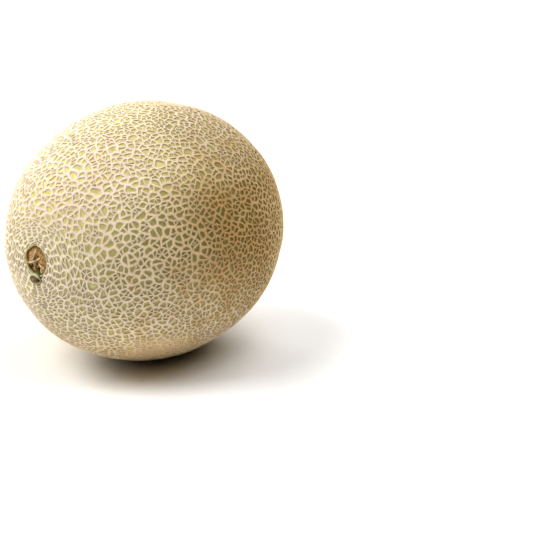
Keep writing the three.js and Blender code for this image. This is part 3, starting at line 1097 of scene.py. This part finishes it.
def rind_cork(nodes, ripe_skin):
    """The cords' cork: tinted in spots, with painted shade on the flanks and a painted highlight
    along the crests.
    """
    ripe = nodes["ripe"]
    rust_and_shade = nodes.span(nodes["broad"], *RUST_AND_SHADE_SPAN)
    nodes.sources["rusty_and_shaded"] = nodes.math("MULTIPLY", nodes["russet_and_shade"], rust_and_shade)
    browning = nodes.span(nodes["middle"], *BROWNING)
    unripe = nodes.math("SUBTRACT", 1, ripe)
    nodes.sources["brown"] = nodes.math("MULTIPLY", unripe, browning)
    top = nodes.tinted(nodes.mix(ripe, *CORK), CORK_TINTS)
    flank = nodes.tinted(nodes.mix(ripe_skin, *FLANK), FLANK_TINTS)
    crest = nodes.tinted(nodes.mix(ripe, *CREST), CREST_TINTS)
    cork = nodes.mix(nodes.span(nodes["net"], *FLANK_SPAN), flank, top)
    cork = nodes.mix(nodes.span(nodes["net"], *CREST_SPAN), cork, crest)
    return nodes.tinted(cork, LAST_CORK_TINTS)


def rind_material(masks):
    """Skin and cork, with a ragged edge between them."""
    nodes = Nodes("rind", masks, RIND_NOISES)
    held = nodes.math("MULTIPLY_ADD", nodes["deep_green_and_shade"], -DEEP_SHADE_HOLD, 1)
    ripe_skin = nodes.math("MULTIPLY", nodes["ripe"], held)
    wander = nodes.math("MULTIPLY_ADD", nodes["fine"], RAGGEDNESS, -RAGGEDNESS / 2)
    ragged = nodes.math("ADD", nodes["net"], wander)
    ragged = nodes.math("MULTIPLY_ADD", nodes["low"], LOW_SPREAD, ragged)
    cord = nodes.span(ragged, *CORD_SPAN)
    look = nodes.mix(cord, rind_skin(nodes, ripe_skin), rind_cork(nodes, ripe_skin))
    rough = nodes.math("MULTIPLY", nodes.math("ADD", nodes["fine"], nodes["grain"]), cord)
    height = nodes.math("ADD", rough, nodes.span(nodes["net"], *ROUND_TOP))
    return nodes.finish(nodes.tinted(look, DISH_TINTS),
                        nodes.math("MULTIPLY_ADD", cord, CORK_ROUGHER, SKIN_ROUGHNESS),
                        RIND_GLOSS, height, RIND_BUMP)


def scar_material(name, masks):
    """Torn cork: orange-brown lumps, pale ridges, and painted shade in its hollows, creases and
    cracks.
    """
    nodes = Nodes(name, masks, SCAR_NOISES)
    shown = nodes.span(nodes["cork"], *LUMPS_SHOWN)
    look = nodes.mix(shown, nodes.marbled(*SCAR_BASE), nodes.marbled(*SCAR_LUMPS))
    height = nodes.math("ADD", nodes["fine"], nodes["middle"])
    return nodes.finish(nodes.tinted(look, SCAR_TINTS), *SCAR_SHEEN, height, SCAR_BUMP)


def stub_material(masks):
    """A dried stalk: a pale green rim with a painted highlight on its upper side, a grey-brown
    top with a hole painted near black as shade, and a foot painted dark green as shade.
    """
    nodes = Nodes("stem_stub", masks, SCAR_NOISES)
    shown = nodes.span(nodes["bowl"], *BOWL_SHOWN)
    look = nodes.mix(shown, nodes.marbled(*STUB_BASE), nodes.marbled(*STUB_BOWL_COLOUR))
    height = nodes.math("ADD", nodes["fine"], nodes["middle"])
    return nodes.finish(nodes.tinted(look, STUB_TINTS), *STUB_SHEEN, height, STUB_BUMP)


# ---- stage, lights, camera

def make_floor():
    bpy.ops.mesh.primitive_plane_add(size=FLOOR_SIZE)
    floor = bpy.context.object
    floor.name = "floor"
    nodes = Nodes("floor")
    for socket, value in FLOOR_SHADE.items():
        nodes.shader.inputs[socket].default_value = value
    floor.data.materials.append(nodes.material)


def towards(turn, height):
    """The direction turned from -Y towards +X, and then raised, by angles in radians."""
    level = math.cos(height)
    return Vector((math.sin(turn) * level, -math.cos(turn) * level, math.sin(height)))


def put_in_scene(name, data, behind):
    """An object for a light or a camera, which looks away from a direction."""
    holder = bpy.data.objects.new(name, data)
    holder.rotation_euler = behind.to_track_quat("Z", "Y").to_euler()
    bpy.context.scene.collection.objects.link(holder)
    return holder


def make_lights():
    for name, (azimuth, elevation, strength, spread) in SUNS.items():
        light = bpy.data.lights.new(name, "SUN")
        light.energy = strength
        light.angle = math.radians(spread)
        turn = VIEW_AZIMUTH + math.radians(azimuth)
        put_in_scene(name, light, towards(turn, math.radians(elevation)))


def make_camera():
    camera = bpy.data.cameras.new("camera")
    camera.sensor_width = SENSOR_WIDTH
    camera.lens = SENSOR_WIDTH * CAMERA_DISTANCE / (IMAGE_SIZE * PIXEL)
    camera.clip_start, camera.clip_end = CAMERA_REACH
    back = towards(VIEW_AZIMUTH, VIEW_ELEVATION)
    right = towards(VIEW_AZIMUTH + math.pi / 2, 0)
    up = back.cross(right)
    across = (IMAGE_SIZE / 2 - MELON_PIXEL[0]) * PIXEL
    upward = (MELON_PIXEL[1] - IMAGE_SIZE / 2) * PIXEL
    to_camera = back * CAMERA_DISTANCE
    holder = put_in_scene("camera", camera, to_camera - right * across - up * upward)
    holder.location = CENTRE + to_camera
    bpy.context.scene.camera = holder
    view = bpy.context.scene.view_settings
    view.view_transform = "Standard"
    view.gamma = DISPLAY_GAMMA


make_camera()
make_lights()
make_floor()
for piece in (make_rind(), make_stem_scar(), make_stub(), make_blossom_scar()):
    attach(piece, "root")
    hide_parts("melon")
